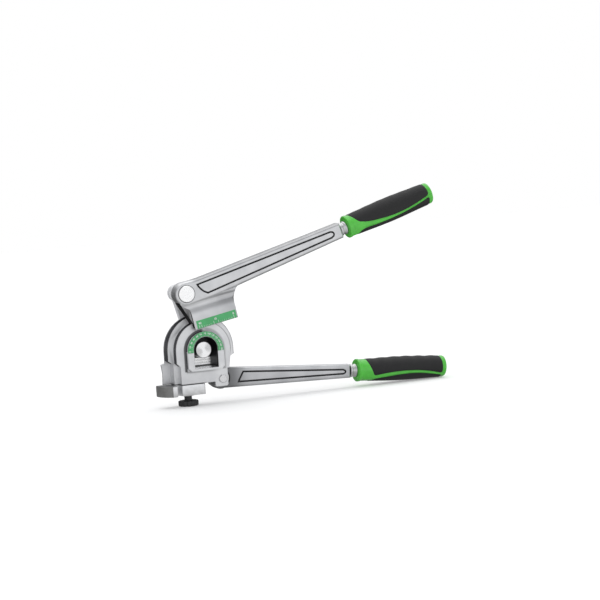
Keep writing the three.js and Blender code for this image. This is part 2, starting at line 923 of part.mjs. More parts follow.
function clampHook() {
  return slabZ(hookPlan(), hookBottom, hookTop).subtract(
    rodZ(screwRadius + runGap, hookBottom - overrun, hookTop + overrun, hookX, hookY, smallSides),
  );
}

function knobSolid() {
  let body = joined(
    rodZ(knobRadius, knobFoot, knobTop, hookX, hookY, 2 * knobFlutes),
    rodZ(knobNeckRadius, knobTop - overrun, hookWasherBottom - washerPlay, hookX, hookY, smallSides),
  );
  for (let i = 0; i < knobFlutes; i += 1) {
    const angle = 2 * Math.PI * i / knobFlutes;
    const [x, y] = [hookX + knobRadius * Math.cos(angle), hookY + knobRadius * Math.sin(angle)];
    body = body.subtract(rodZ(knobFluteRadius, knobFoot - overrun, knobTop + overrun, x, y, fluteSides));
  }
  const bore = rodZ(
    screwRadius + seatGap, knobFoot + screwHeadInset - seatGap, overrun, hookX, hookY, smallSides,
  );
  return body.subtract(bore);
}

function addClamp(tool) {
  place(tool, 'clamp_hook', clampHook(), zincSteel);
  const washer = rodZ(
    hookWasherRadius, hookWasherBottom, hookWasherBottom + washerThickness, hookX, hookY, smallSides,
  ).subtract(rodZ(screwRadius + seatGap, knobFoot, 0, hookX, hookY, smallSides));
  place(tool, 'clamp_washer', washer, zincSteel);
  place(tool, 'clamp_screw', rodZ(
    screwRadius, knobFoot + screwHeadInset, -baseDrop + screwDepth, hookX, hookY, smallSides,
  ), zincSteel);
  place(tool, 'clamp_knob', knobSolid(), knobBlack);
}

const bender = new THREE.Group();
const tool = new THREE.Group();
tool.position.set(-hookX, -hookY, -knobFoot);
bender.add(tool);
addHead(tool);
addLink(tool);
addUpperLever(tool);
addLowerLever(tool);
addClamp(tool);

export default bender;
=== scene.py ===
import json
import math

import bmesh
import bpy
from mathutils import Matrix, Vector

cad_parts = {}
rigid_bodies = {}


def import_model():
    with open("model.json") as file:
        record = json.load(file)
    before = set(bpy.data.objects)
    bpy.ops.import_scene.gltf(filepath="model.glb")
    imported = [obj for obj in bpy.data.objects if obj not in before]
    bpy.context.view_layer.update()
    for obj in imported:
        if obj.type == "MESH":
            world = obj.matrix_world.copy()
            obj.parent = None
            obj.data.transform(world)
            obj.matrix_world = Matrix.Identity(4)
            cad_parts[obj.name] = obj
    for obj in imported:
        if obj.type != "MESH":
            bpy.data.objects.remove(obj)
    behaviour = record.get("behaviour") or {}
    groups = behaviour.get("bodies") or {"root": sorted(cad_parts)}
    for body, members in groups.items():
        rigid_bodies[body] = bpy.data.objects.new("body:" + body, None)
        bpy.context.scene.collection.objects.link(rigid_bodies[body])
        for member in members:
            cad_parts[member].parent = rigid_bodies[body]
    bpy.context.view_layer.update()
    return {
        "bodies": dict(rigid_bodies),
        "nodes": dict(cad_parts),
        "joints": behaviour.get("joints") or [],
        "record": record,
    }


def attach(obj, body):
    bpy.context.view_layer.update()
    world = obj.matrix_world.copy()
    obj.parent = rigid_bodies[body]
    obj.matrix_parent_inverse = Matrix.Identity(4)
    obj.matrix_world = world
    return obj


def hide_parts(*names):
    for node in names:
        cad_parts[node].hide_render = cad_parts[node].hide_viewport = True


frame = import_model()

NODES = frame["nodes"]
MM = 0.001

# The head's frame has its origin on the head's front face, in the middle of the formers, at
# HEAD_HEIGHT over the bench. Lengths are millimetres, X to the right, Y to the back and Z up.
HEAD_HEIGHT = 67.0
HEAD_REAR = 36.2547
HEAD = Matrix.Translation((0.0193, -0.0223, HEAD_HEIGHT * MM)) @ Matrix.Scale(MM, 4)

# The formers' grooves from front to back: front, rear and the radius of the lands beside them
FORMER_GROOVES = ((1.5, 7.95, 23.0), (9.55, 19.25, 34.8), (20.8, 33.8, 41.9))

# Pins of the two levers, as X and Z in the head's frame
LINK_LENGTH = 71.8
LINK_LEAN = math.radians(15.25)
LINK_GAP = 0.3
LINK_THICKNESS = 8
UPPER_PIN = (-LINK_LENGTH * math.sin(LINK_LEAN), LINK_LENGTH * math.cos(LINK_LEAN))
LOWER_PIN = (22.0, -37.2)

# Grips, with the green core let in under the pads by the pads' depth
GRIP_LENGTH = 122.0
GRIP_END = 118.6
GRIP_WAIST = 14.0
GRIP_BELLY = 1.4
GRIP_END_RADIUS = 13.4
PAD_DEPTH = 1.1

# Turns of the shoe and of the beams in degrees, and how far the upper beam's middle lies off its
# pin. The lower lever reaches the bench with the end of its grip.
SHOE_TURN = -10.9
UPPER_TURN = -5.9
UPPER_DROP = -1.1
LOWER_REACH = 302.9
LOWER_LEAN = math.degrees(
    math.asin((HEAD_HEIGHT + LOWER_PIN[1] - GRIP_END_RADIUS) / LOWER_REACH)
)

# Where the grips start along the beams, and the depth of their middle
UPPER_GRIP_START = (225.1, 10.5)
LOWER_GRIP_START = (181.5, 22.554)


def turned_frame(parent, x, y, z, degrees=0.0):
    """Frame that is moved in its parent's frame and then turned about its own Y"""
    return parent @ Matrix.Translation((x, y, z)) @ Matrix.Rotation(math.radians(degrees), 4, "Y")


# Frames of the moving parts. Each matrix takes millimetres in a part's own frame to the scene.
UPPER_PIN_PLACE = turned_frame(HEAD, UPPER_PIN[0], 0, UPPER_PIN[1])
LOWER_PIN_PLACE = turned_frame(HEAD, LOWER_PIN[0], 0, LOWER_PIN[1])
SHOE = turned_frame(UPPER_PIN_PLACE, 0, 0, 0, SHOE_TURN)
UPPER_BEAM = turned_frame(SHOE, 0, 0, 0, UPPER_TURN)
UPPER_GRIP = turned_frame(UPPER_BEAM, *UPPER_GRIP_START, UPPER_DROP)
LOWER_BEAM = turned_frame(LOWER_PIN_PLACE, 0, 0, 0, LOWER_LEAN)
LOWER_GRIP = turned_frame(LOWER_BEAM, *LOWER_GRIP_START, 0)
KNOB = Matrix.Scale(MM, 4)


class Signal:
    """Output of a shader node that can be added, multiplied and compared like a number"""

    def __init__(self, finish, socket):
        self.finish = finish
        self.socket = socket

    def applied(self, operation, *others):
        """Result of an operation on the signal, and on another value if it takes one"""
        values = dict(enumerate((self, *others)))
        return self.finish.node("ShaderNodeMath", {"operation": operation}, values)

    def __add__(self, other):
        return self.applied("ADD", other)

    def __radd__(self, other):
        return self.applied("ADD", other)

    def __sub__(self, other):
        return self.applied("SUBTRACT", other)

    def __rsub__(self, other):
        settings = {"operation": "SUBTRACT"}
        return self.finish.node("ShaderNodeMath", settings, {0: other, 1: self})

    def __mul__(self, other):
        return self.applied("MULTIPLY", other)

    def __rmul__(self, other):
        return self.applied("MULTIPLY", other)

    def within(self, low, high):
        """1 where the signal passes high, 0 below low, and a soft step between"""
        settings = {"interpolation_type": "SMOOTHSTEP"}
        return self.finish.node("ShaderNodeMapRange", settings, {0: self, 1: low, 2: high})


class Finish:
    """A surface finish with its shader nodes, or those of another holder such as the world"""

    def __init__(self, name, holder=None):
        self.material = holder or bpy.data.materials.new(name)
        self.material.use_nodes = True
        self.tree = self.material.node_tree
        self.tree.nodes.clear()
        self.place = self.node("ShaderNodeTexCoord", output="Object")

    def node(self, kind, settings=None, inputs=None, output=0):
        """Adds a node whose inputs are values or signals, and gives one of its outputs"""
        made = self.tree.nodes.new(kind)
        for name, value in (settings or {}).items():
            setattr(made, name, value)
        for name, value in (inputs or {}).items():
            if isinstance(value, Signal):
                self.tree.links.new(value.socket, made.inputs[name])
            else:
                made.inputs[name].default_value = value
        return Signal(self, made.outputs[output])

    def noise(self, scale, detail=3.0, roughness=0.5):
        inputs = {"Vector": self.place, "Scale": scale, "Detail": detail, "Roughness": roughness}
        return self.node("ShaderNodeTexNoise", None, inputs)

    def axes(self):
        """Coordinates in the scene, in metres"""
        split = self.node("ShaderNodeSeparateXYZ", None, {0: self.place})
        outputs = split.socket.node.outputs
        return [Signal(self, outputs[i]) for i in range(3)]

    def reading(self, frame, axis):
        """Coordinate in a part's own frame, in millimetres"""
        row = frame.inverted()[axis]
        inputs = {0: self.place, 1: tuple(row[:3])}
        return self.node("ShaderNodeVectorMath", {"operation": "DOT_PRODUCT"}, inputs, 1) + row[3]

    def mixed(self, share, first, second):
        settings = {"data_type": "RGBA"}
        return self.node("ShaderNodeMix", settings, {0: share, 6: first, 7: second}, 2)

    def rounded(self, radius):
        """Normal that rounds the edges off, by a radius in metres"""
        return self.node("ShaderNodeBevel", {"samples": 4}, {"Radius": radius})

    def bump(self, height, distance, strength=1.0, normal=None):
        inputs = {"Strength": strength, "Distance": distance, "Height": height}
        if normal is not None:
            inputs["Normal"] = normal
        return self.node("ShaderNodeBump", None, inputs)

    def surface(self, **sockets):
        """Ends the tree with a surface whose inputs are named with _ for each space"""
        inputs = {name.replace("_", " "): value for name, value in sockets.items()}
        shader = self.node("ShaderNodeBsdfPrincipled", None, inputs)
        self.node_output(shader)
        return self.material

    def node_output(self, shader, kind="ShaderNodeOutputMaterial"):
        out = self.tree.nodes.new(kind)
        self.tree.links.new(shader.socket, out.inputs["Surface"])


def cast_metal(name, dark, light, edge=0.0006, metallic=0.92, shade=None):
    """Satin cast metal. shade gives the share of painted shade, mixed towards a darker tone"""
    finish = Finish(name)
    cloud = finish.noise(45.0, 2.0)
    grain = finish.noise(1900.0, 4.0, 0.6)
    colour = finish.mixed((cloud * 0.7 + grain * 0.3).within(0.3, 0.7), (*dark, 1), (*light, 1))
    if shade:
        # Painted shade: the colour goes towards a darker tone by the share that shade gives
        colour = finish.mixed(shade(finish), colour, (*[c * 0.2 for c in dark], 1))
    return finish.surface(
        Base_Color=colour,
        Metallic=metallic,
        Roughness=0.34 + 0.12 * cloud + 0.08 * grain,
        Normal=finish.bump(grain, 0.00006, 0.6, finish.rounded(edge)),
    )


def head_painted_shade(finish):
    """Painted shade in the formers' seams and rims, under the front block and above the hook"""
    x, y, z = [finish.reading(HEAD, axis) for axis in range(3)]
    arch = z.applied("MAXIMUM", 0.0)
    radius = (x * x + arch * arch).applied("SQRT")
    left, right = x.within(2, -2), x.within(-2, 6)
    behind_front = y.within(9.5, 8.5)
    seam = radius.within(21.5, 22.8) * radius.within(25.9, 24.6) * y.within(5, 6) * behind_front
    middle_rim = radius.within(33.2, 34.2) * y.within(9.2, 8.4)
    large_rim = radius.within(40.4, 41.3) * y.within(20.4, 19.8)
    foot = radius.within(28.4, 25.6) * y.within(6, 7) * behind_front
    stack = seam * left + (middle_rim + large_rim + foot) * 0.5 * right
    across = x.within(22, 2) * x.within(-24, -23)
    ledge = z.within(-28, -24.7) * z.within(-24.3, -24.6) * across * behind_front * 0.6
    above_hook = z.within(-38.9, -39.6) * x.within(2, -1) * 0.85
    return stack * z.within(-25.5, -24.5) + ledge + above_hook


def root_shade(finish):
    """Painted shade at the root of the lower lever, beside the head's lug"""
    return finish.reading(LOWER_BEAM, 0).within(43.7, 8.7) * 0.82


def lever_shade(finish):
    """Painted shade in the web, along the beam's edges, at the shoe's left end and under the shoe
    """
    x, z = finish.reading(SHOE, 0), finish.reading(SHOE, 2)
    waist = z.within(-16, -20.5) * z.within(-26.5, -22) * x.within(-12, -2) * 0.3
    web = x.within(14, 52) * z.within(-10, -17) * 0.2
    corner = x.within(-1.5, -4.5) * z.within(-20, -27) * 0.9
    sole = z.within(-44.0, -44.3) * 0.5
    top_slope, under_slope = 0.0174, 0.0277
    x, z = finish.reading(UPPER_BEAM, 0), finish.reading(UPPER_BEAM, 2)
    top = (z + top_slope * x).within(9.2, 10.5) * x.within(8, 20) * 0.42
    under = (z - under_slope * x).within(-13.6, -15.0) * x.within(58, 70) * 0.36
    return waist + web + corner + sole + top + under


def wall_shade(finish):
    """Painted shade along the foot of the window's back wall, above the sill"""
    y, z = finish.reading(HEAD, 1), finish.reading(HEAD, 2)
    return z.within(-19.7, -20.1) * y.within(29.4, 30.2) * 0.95


def hook_shade(finish):
    """Painted shade in the gaps along the top and the right end of the hook"""
    x, z = finish.reading(HEAD, 0), finish.reading(HEAD, 2)
    return z.within(-41.1, -40.7) * 0.85 + x.within(-2.0, -1.7) * 0.6


def link_shade(finish):
    """Painted shade on the back of the link"""
    return finish.reading(HEAD, 1).within(42.9, 44.4) * 0.42


def turned_metal(name, tone, place, metallic=1.0, painted_reflection=0.0):
    """Bright metal with fine rings round an axis along Y at a place. Two sectors are darkened as a
    painted reflection
    """
    finish = Finish(name)
    x, _, z = place.translation
    across, _, up = finish.axes()
    radius = ((across - x) * (across - x) + (up - z) * (up - z)).applied("SQRT")
    around = (up - z).applied("ARCTAN2", across - x)
    rings = (radius * 9000.0).applied("SINE") * 0.5 + 0.5
    inputs = {"W": around * 9.0, "Detail": 3.0}
    rays = finish.node("ShaderNodeTexNoise", {"noise_dimensions": "1D"}, inputs)
    colour = finish.mixed(rays.within(0.3, 0.7), (*[c * 0.86 for c in tone], 1), (*tone, 1))
    if painted_reflection:
        # Painted reflection of the turned face: two opposite sectors darker, away from the centre
        lobes = (around * 2.0 + 0.9).applied("SINE").within(-0.6, 0.9)
        off_centre = radius.within(0.0005, 0.004)
        colour = finish.mixed(lobes * off_centre * painted_reflection, colour, (*[c * 0.3 for c in tone], 1))
    return finish.surface(
        Base_Color=colour,
        Metallic=metallic,
        Roughness=0.24 + 0.08 * rays,
        Normal=finish.bump(rings, 0.00002, 0.5, finish.rounded(0.0004)),
    )


def plain_metal(name, tone, roughness, edge=0.0004, metallic=0.95, tilt=0.0, shade=None):
    """Smooth metal. tilt leans its face towards the left of the head, as a share of its width"""
    finish = Finish(name)
    cloud = finish.noise(160.0, 3.0)
    normal = finish.bump(finish.noise(2600.0, 2.0), 0.00003, 0.5, finish.rounded(edge))
    if tilt:
        normal = finish.bump(finish.reading(HEAD, 0), tilt * MM, 1.0, normal)
    colour = finish.mixed(cloud.within(0.35, 0.65), (*[c * 0.88 for c in tone], 1), (*tone, 1))
    if shade:
        # Painted shade: the colour goes towards near black by the share that shade gives
        colour = finish.mixed(shade(finish), colour, (*[c * 0.08 for c in tone], 1))
    return finish.surface(
        Base_Color=colour,
        Metallic=metallic,
        Roughness=roughness + 0.1 * cloud,
        Normal=normal,
    )


def moulded(name, tone, roughness, grain_scale, grain_depth, coat=0.0):
    """Plastic, rubber or paint with a fine grain, its depth in metres"""
    finish = Finish(name)
    cloud = finish.noise(70.0, 2.0)
    grain = finish.noise(grain_scale, 3.0, 0.6)
    colour = finish.mixed(cloud.within(0.35, 0.65), (*[c * 0.9 for c in tone], 1), (*tone, 1))
    return finish.surface(
        Base_Color=colour,
        Metallic=0.0,
        Roughness=roughness + 0.12 * grain,
        Coat_Weight=coat,
        Normal=finish.bump(grain, grain_depth, 0.8, finish.rounded(0.0004)),
    )


CAST = cast_metal(
    "upper lever aluminium", (0.56, 0.565, 0.58), (0.7, 0.705, 0.715), shade=lever_shade,
)
LOWER_CAST = cast_metal(
    "lower lever aluminium", (0.51, 0.515, 0.53), (0.635, 0.64, 0.655), shade=root_shade,
)
LINK_CAST = cast_metal(
    "link aluminium", (0.84, 0.845, 0.86), (0.92, 0.925, 0.935), metallic=0.15, shade=link_shade,
)
HEAD_CAST = cast_metal(
    "head aluminium", (0.62, 0.625, 0.64), (0.77, 0.775, 0.785), edge=0.001, shade=head_painted_shade,
)
WINDOW_WALL = plain_metal(
    "window wall metal", (0.9, 0.9, 0.91), 0.16, metallic=0.8, tilt=0.14, shade=wall_shade,
)
# Near-black aluminium: painted shade in the formers' grooves and inside the head's window
GROOVE_SHADE = cast_metal("groove aluminium", (0.055, 0.055, 0.06), (0.09, 0.09, 0.095))
# Near black: painted shade in the lever panels' grooves and round the upper pin's sunk head
RECESS_SHADE = moulded("dark recess", (0.016, 0.016, 0.017), 0.6, 2000.0, 0.00002)
# Black: painted shade on the left faces of the shoe and the web
LEFT_END_SHADE = moulded("shaded shoe end", (0.005, 0.005, 0.005), 0.75, 1500.0, 0.00003)
HOOK_STEEL = plain_metal("hook steel", (0.78, 0.785, 0.795), 0.3, edge=0.0007, shade=hook_shade)
# Darker steel: painted shade on the hook's left flank
HOOK_FLANK_SHADE = plain_metal("hook flank steel", (0.24, 0.24, 0.235), 0.4, edge=0.0007, metallic=0.4)
ZINC = plain_metal("zinc plate", (0.6, 0.6, 0.6), 0.32)
BRONZE = plain_metal("bush bronze", (0.42, 0.29, 0.14), 0.45)
SCALE = moulded("scale green", (0.085, 0.44, 0.16), 0.42, 2200.0, 0.00001)
MARKS = moulded("scale white", (0.86, 0.87, 0.86), 0.5, 2000.0, 0.00001)
GREEN = moulded("grip green", (0.085, 0.56, 0.05), 0.28, 1200.0, 0.00002, coat=0.15)
RUBBER = moulded("grip rubber", (0.009, 0.009, 0.0095), 0.62, 1700.0, 0.00008)
KNOB_BLACK = moulded("knob black", (0.022, 0.022, 0.023), 0.42, 1500.0, 0.00003)
FERRULE = plain_metal("ferrule steel", (0.6, 0.6, 0.61), 0.26)
CENTRE_PIN = turned_metal("centre pin steel", (0.9, 0.9, 0.91), HEAD, painted_reflection=0.45)
UPPER_PIN_STEEL = turned_metal("upper pin steel", (1.0, 1.0, 1.0), UPPER_PIN_PLACE, metallic=0.8)
LOWER_PIN_STEEL = turned_metal("lower pin steel", (0.72, 0.72, 0.73), LOWER_PIN_PLACE)

# Points closer than this are merged: in millimetres in a shape made here, and in metres in a
# copy of a solid
MERGE_MM = 0.0005
MERGE_CASTING = 0.00002

# Share of a face's normal along a direction above which the face looks that way
FACING = 0.8


def finished(name, shape, place, body, finishes, nodes=(), smooth=32):
    """Puts a shape made in millimetres where it belongs and gives it its finishes"""
    bmesh.ops.transform(shape, matrix=place, verts=shape.verts)
    for face in shape.faces:
        face.smooth = True
    for edge in shape.edges:
        if len(edge.link_faces) == 2:
            edge.smooth = edge.calc_face_angle(0.0) < math.radians(smooth)
    mesh = bpy.data.meshes.new(name)
    shape.to_mesh(mesh)
    shape.free()
    for finish in finishes:
        mesh.materials.append(finish)
    piece = bpy.data.objects.new(name, mesh)
    bpy.context.scene.collection.objects.link(piece)
    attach(piece, body)
    if nodes:
        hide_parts(*nodes)


def outward(shape):
    """Makes all faces look outwards"""
    bmesh.ops.recalc_face_normals(shape, faces=shape.faces)


def soften(shape, width, segments=2, limit=40.0, keep=None):
    """Rounds the sharp edges, or those of them that keep picks"""
    edges = [
        edge for edge in shape.edges
        if len(edge.link_faces) == 2 and edge.calc_face_angle(0.0) > math.radians(limit)
        and (keep is None or keep(edge))
    ]
    bmesh.ops.bevel(
        shape, geom=edges, offset=width, segments=segments, profile=0.5, affect="EDGES",
        clamp_overlap=True, material=-1,
    )


def extruded(shape, vec):
    """Turns a flat shape into a solid by moving a copy of its faces"""
    raised = bmesh.ops.extrude_face_region(shape, geom=shape.faces[:])
    moved = [item for item in raised["geom"] if isinstance(item, bmesh.types.BMVert)]
    bmesh.ops.translate(shape, vec=vec, verts=moved)
    outward(shape)
    return shape


def plate(points, y0, y1):
    """Plate from an outline in X and Z between two depths"""
    shape = bmesh.new()
    shape.faces.new([shape.verts.new((x, y0, z)) for x, z in points])
    return extruded(shape, (0, y1 - y0, 0))


def rotated(shape, angle, axis):
    """Turns a shape about an axis through its origin, by an angle in radians"""
    turn = Matrix.Rotation(angle, 3, axis)
    bmesh.ops.rotate(shape, cent=(0, 0, 0), matrix=turn, verts=shape.verts)


def spun(profile, sides=64, axis="Y"):
    """Turned form: radius and place along the axis, from axis to axis"""
    shape = bmesh.new()
    verts = [shape.verts.new((radius, along, 0)) for radius, along in profile]
    edges = [shape.edges.new(pair) for pair in zip(verts, verts[1:])]
    bmesh.ops.spin(
        shape, geom=verts + edges, cent=(0, 0, 0), axis=(0, 1, 0), angle=2 * math.pi,
        steps=sides, use_merge=True,
    )
    bmesh.ops.remove_doubles(shape, verts=shape.verts, dist=MERGE_MM)
    outward(shape)
    if axis == "X":
        rotated(shape, -math.pi / 2, "Z")
    if axis == "Z":
        rotated(shape, math.pi / 2, "X")
    return shape


def add(shape, other, move=None):
    """Adds another shape's surfaces to a shape"""
    if move is not None:
        bmesh.ops.transform(other, matrix=move, verts=other.verts)
    mesh = bpy.data.meshes.new("part")
    other.to_mesh(mesh)
    other.free()
    shape.from_mesh(mesh)
    bpy.data.meshes.remove(mesh)
    return shape


def casting(node):
    """Merged copy of a solid, in metres, to be finished as a casting"""
    shape = bmesh.new()
    shape.from_mesh(NODES[node].data)
    bmesh.ops.remove_doubles(shape, verts=shape.verts, dist=MERGE_CASTING)
    bmesh.ops.dissolve_limit(
        shape, angle_limit=math.radians(0.5), verts=shape.verts, edges=shape.edges, delimit=set(),
    )
    return shape


def make_head():
    """Head casting, with painted shade in its grooves and inside the window, and a pale block in
    the window
    """
    window_half, window_foot, window_depth = 15.6, -22.5, (0.3, 31)
    block_top, block_right, sill = -5, 3, -18
    leg_edge, leg_top, leg_depth = 31, -20, (7.9, 19.2)
    groove_reach, land_edge, groove_foot, flat = 8, 0.1, -11, 0.97
    to_head = HEAD.inverted()
    shape = casting("forming_head")
    for vert in shape.verts:
        x, y, z = to_head @ vert.co
        if x > leg_edge and leg_depth[0] < y < leg_depth[1] and z < leg_top:
            vert.co.x = (HEAD @ Vector((leg_edge, y, z))).x
    for face in shape.faces:
        x, y, z = to_head @ face.calc_center_median()
        radius = math.hypot(x, max(z, 0))
        for front, rear, land in FORMER_GROOVES:
            # Faces in the grooves take the second finish, painted shade
            in_groove = front < y < rear and land - groove_reach < radius < land - land_edge
            if in_groove and z > groove_foot and abs(face.normal.y) < flat:
                face.material_index = 1
        corners = [to_head @ vert.co for vert in face.verts]
        widest = max(abs(corner.x) for corner in corners)
        lowest = min(corner.z for corner in corners)
        if widest < window_half and window_depth[0] < y < window_depth[1] and lowest > window_foot:
            back_wall = face.normal.y < -0.5 and x < block_right and z < block_top
            pale = back_wall or face.normal.z > 0.5 and z < sill
            # In the window the back block and the upward faces take the pale metal, the rest
            # painted shade
            face.material_index = 2 if pale else 1
    finished(
        "head_casting", shape, Matrix.Identity(4), "head", [HEAD_CAST, GROOVE_SHADE, WINDOW_WALL],
        ["forming_head"],
    )


def pin_profile(head, head_front, head_rear, radius, ring_front):
    """Pin with a chamfered head, a groove for its snap ring and a short tail behind the ring"""
    chamfer, ring, groove, tail = 0.6, 0.9, radius - 1, ring_front + 2.1
    return [
        (0, head_front), (head - chamfer, head_front), (head, head_front + chamfer),
        (head, head_rear), (radius, head_rear), (radius, ring_front), (groove, ring_front),
        (groove, ring_front + ring), (radius, ring_front + ring), (radius, tail - chamfer),
        (radius - chamfer, tail), (0, tail),
    ]


def make_pins():
    """Centre pin, pin of the upper lever and pin of the lower lever"""
    play = 0.15
    washer = 1 + LINK_GAP
    link_rear = HEAD_REAR + LINK_GAP + LINK_THICKNESS
    for name, profile, sides, place, body, steel, node in (
        ("centre", (10, 8, 30.455, 6, link_rear + washer + play), 64, HEAD, "head", CENTRE_PIN,
         "centre_pin"),
        ("upper", (10, -0.5, 2.3, 6, link_rear + play), 64, UPPER_PIN_PLACE, "swing_link",
         UPPER_PIN_STEEL, "upper_pin"),
        ("lower", (5, 6.3546, 7.6546, 3.9, HEAD_REAR + play), 48, LOWER_PIN_PLACE, "head",
         LOWER_PIN_STEEL, "lower_pin"),
    ):
        turned = spun(pin_profile(*profile), sides)
        finished(f"{name}_pin_turned", turned, place, body, [steel], [node])


def lever_beam(outline, panel, y0, y1, edge):
    """Lever beam with rounded long edges, and a panel framed by a groove with painted shade, on
    both faces
    """
    near = 0.01
    shape = plate(outline, y0, y1)
    soften(shape, edge, 4, 10.0, lambda e: abs(e.verts[0].co.y - e.verts[1].co.y) < near)
    for level, side in ((y0, -1), (y1, 1)):
        flat = [face for face in shape.faces if abs(face.calc_center_median().y - level) < near]
        sink_panel(shape, max(flat, key=lambda found: found.calc_area()), panel, level, side)
    return shape


def sink_panel(shape, face, panel, level, side):
    """Opens a face round a panel and sinks a groove with painted shade along the panel's outline"""
    width, depth = 2.1, 1.3
    rim = face.edges[:]
    bmesh.ops.delete(shape, geom=[face], context="FACES_ONLY")
    rings = []
    for inset, sunk in ((0, 0), (0, 1), (width, 1), (width, 0)):
        rings.append([
            shape.verts.new((x, level - side * depth * sunk, z)) for x, z in drawn_in(panel, inset)
        ])
    edges = [shape.edges.new(pair) for pair in zip(rings[0], rings[0][1:] + rings[0][:1])]
    bmesh.ops.triangle_fill(
        shape, use_beauty=True, use_dissolve=False, edges=rim + edges, normal=(0, side, 0),
    )
    for outer, inner in zip(rings, rings[1:]):
        for i, vert in enumerate(outer):
            wall = shape.faces.new((outer[i - 1], vert, inner[i], inner[i - 1]))
            wall.material_index = 1
    shape.faces.new(rings[-1])
    outward(shape)


def drawn_in(points, inset):
    """Closed outline with every side moved inwards by the same amount"""
    middle = Vector([sum(point[k] for point in points) / len(points) for k in (0, 1)])
    befores, afters = points[-1:] + points[:-1], points[1:] + points[:1]
    sharpest = 0.4
    result = []
    for before, point, after in zip(befores, points, afters):
        here = Vector(point)
        sides = []
        for first, second in ((before, point), (point, after)):
            run = (Vector(second) - Vector(first)).normalized()
            across = Vector((-run.y, run.x))
            if across.dot(middle - here) < 0:
                across.negate()
            sides.append(across)
        bisector = (sides[0] + sides[1]).normalized()
        result.append(tuple(here + bisector * inset / max(bisector.dot(sides[0]), sharpest)))
    return result


# The closed shoe's gap to the formers, its left end and its length
SHOE_CLEAR = 0.8
SHOE_LEFT, SHOE_LENGTH = -0.6, 56.1

# Section of the shoe, as depth and height in its own frame. For each former from front to back:
# the middle of its half-round groove, the groove's radius and the step behind the groove.
SOLE_FRONT = [(0, -44.67)]
SOLE_GROOVES = (
    (4.727, -45.47, 3.325, 7.45, -32.87),
    (14.404, -33.67, 4.915, 18.75, -25.77),
    (27.304, -26.57, 6.5, 33.755, None),
)
SOLE_REAR = [
    (35.95, -25.77), (35.95, -16.07), (3.6, -16.07), (3.4, -17.6), (2.7, -20.2), (1.7, -22.4),
    (0.6, -24.8), (0, -27.6),
]


def sole_profile():
    """Section of the shoe, as depth and height, with a half-round groove over each former"""
    steps = 16
    points = list(SOLE_FRONT)
    for middle, height, radius, step, step_height in SOLE_GROOVES:
        first = math.acos(-math.sqrt(radius ** 2 - SHOE_CLEAR ** 2) / radius)
        last = math.acos(min(1.0, (step - middle) / radius))
        for i in range(steps + 1):
            angle = first + (last - first) * i / steps
            points.append((middle + radius * math.cos(angle), height + radius * math.sin(angle)))
        if step_height is not None:
            points.append((step, step_height))
    return points + SOLE_REAR


def shade_left_faces(shape):
    """Gives the faces that look to the left the third finish, painted shade"""
    for face in shape.faces:
        if face.normal.x < -FACING:
            face.material_index = 2


def sole():
    """Stepped shoe under the upper lever, with painted shade on its left end"""
    shape = bmesh.new()
    shape.faces.new([shape.verts.new((SHOE_LEFT, y, z)) for y, z in sole_profile()])
    extruded(shape, (SHOE_LENGTH, 0, 0))
    soften(shape, 0.5, 2, 50.0)
    shade_left_faces(shape)
    return shape


def carved(shape, cutter):
    """Merges the overlapping shells of a shape and takes the cutter's form out of them"""
    finishes = 3
    holders = []
    for name, source in (("casting", shape), ("bore", cutter)):
        mesh = bpy.data.meshes.new(name)
        source.to_mesh(mesh)
        source.free()
        for _ in range(finishes):
            mesh.materials.append(CAST)
        holders.append(bpy.data.objects.new(name, mesh))
        bpy.context.scene.collection.objects.link(holders[-1])
    body, bore = holders
    cut = body.modifiers.new("bore", "BOOLEAN")
    cut.operation = "DIFFERENCE"
    cut.solver = "EXACT"
    cut.use_self = True
    cut.object = bore
    bpy.context.view_layer.update()
    solid = body.evaluated_get(bpy.context.evaluated_depsgraph_get())
    result = bmesh.new()
    mesh = bpy.data.meshes.new_from_object(solid)
    result.from_mesh(mesh)
    for holder in holders:
        bpy.data.objects.remove(holder)
    bpy.data.meshes.remove(mesh)
    bmesh.ops.remove_doubles(result, verts=result.verts, dist=MERGE_MM)
    return result


def arc(radius, height, first, last, steps):
    """Points of an arc round X = 0 at a height, between two angles in degrees"""
    angles = [math.radians(first + (last - first) * i / steps) for i in range(steps + 1)]
    return [(radius * math.cos(a), height + radius * math.sin(a)) for a in angles]


# Outlines of the levers, as X and Z. The web's is in the shoe's frame, the others in the beams'.
WEB_OUTLINE = [
    (-11.4, -8.5), (-0.2, -38), (56.0, -38), (56.2, -27), (57.3, -19.5), (59.4, -13.8),
    (62.6, -9.6), (68, -6.4), (68, 2), (0, 2),
]
WEB_FRONT, WEB_REAR = 1.0, 19.4
EYE_RADIUS = 14
UPPER_OUTLINE = [
    (64, -13.8), *[(215.6, z) for z in (-9.6, -6.2, -3.1, 0, 3.1, 6.2, 9.3)], (49, 12.2),
    (22, 12.7), (12, 13.5), *arc(EYE_RADIUS, -UPPER_DROP, 84, 276, 40), (14, -13.3), (34, -14.1),
]
UPPER_PANEL = [
    (25.2, -8.5), (200, -4.9), (203.2, -3.7), (204.7, -2.0), (205.2, -0.2), (204.7, 1.6),
    (203.2, 3.3), (200, 4.5), (15.1, 7.8), (16.0, 3.8), (17.8, -0.2), (20.7, -4.6),
]
UPPER_FRONT, UPPER_REAR = 0.6, 20.4
LOWER_OUTLINE = [
    (2, -12.5), *[(172, z) for z in (-8.5, -5.7, -2.8, 0, 2.8, 5.7, 8.5)], (2, 12.5), (2, 6.2),
    (2, 0), (2, -6.2),
]
LOWER_PANEL = [
    (21.1, -6.6), (161.5, -3.9), (164.3, -3.0), (165.6, -1.7), (166, -0.3), (165.6, 1.1),
    (164.3, 2.4), (161.5, 3.4), (28.3, 7.6), (26.4, 4.4), (24.6, 1.0), (22.7, -2.6),
]
LOWER_FRONT, LOWER_REAR = 15.55, 29.55


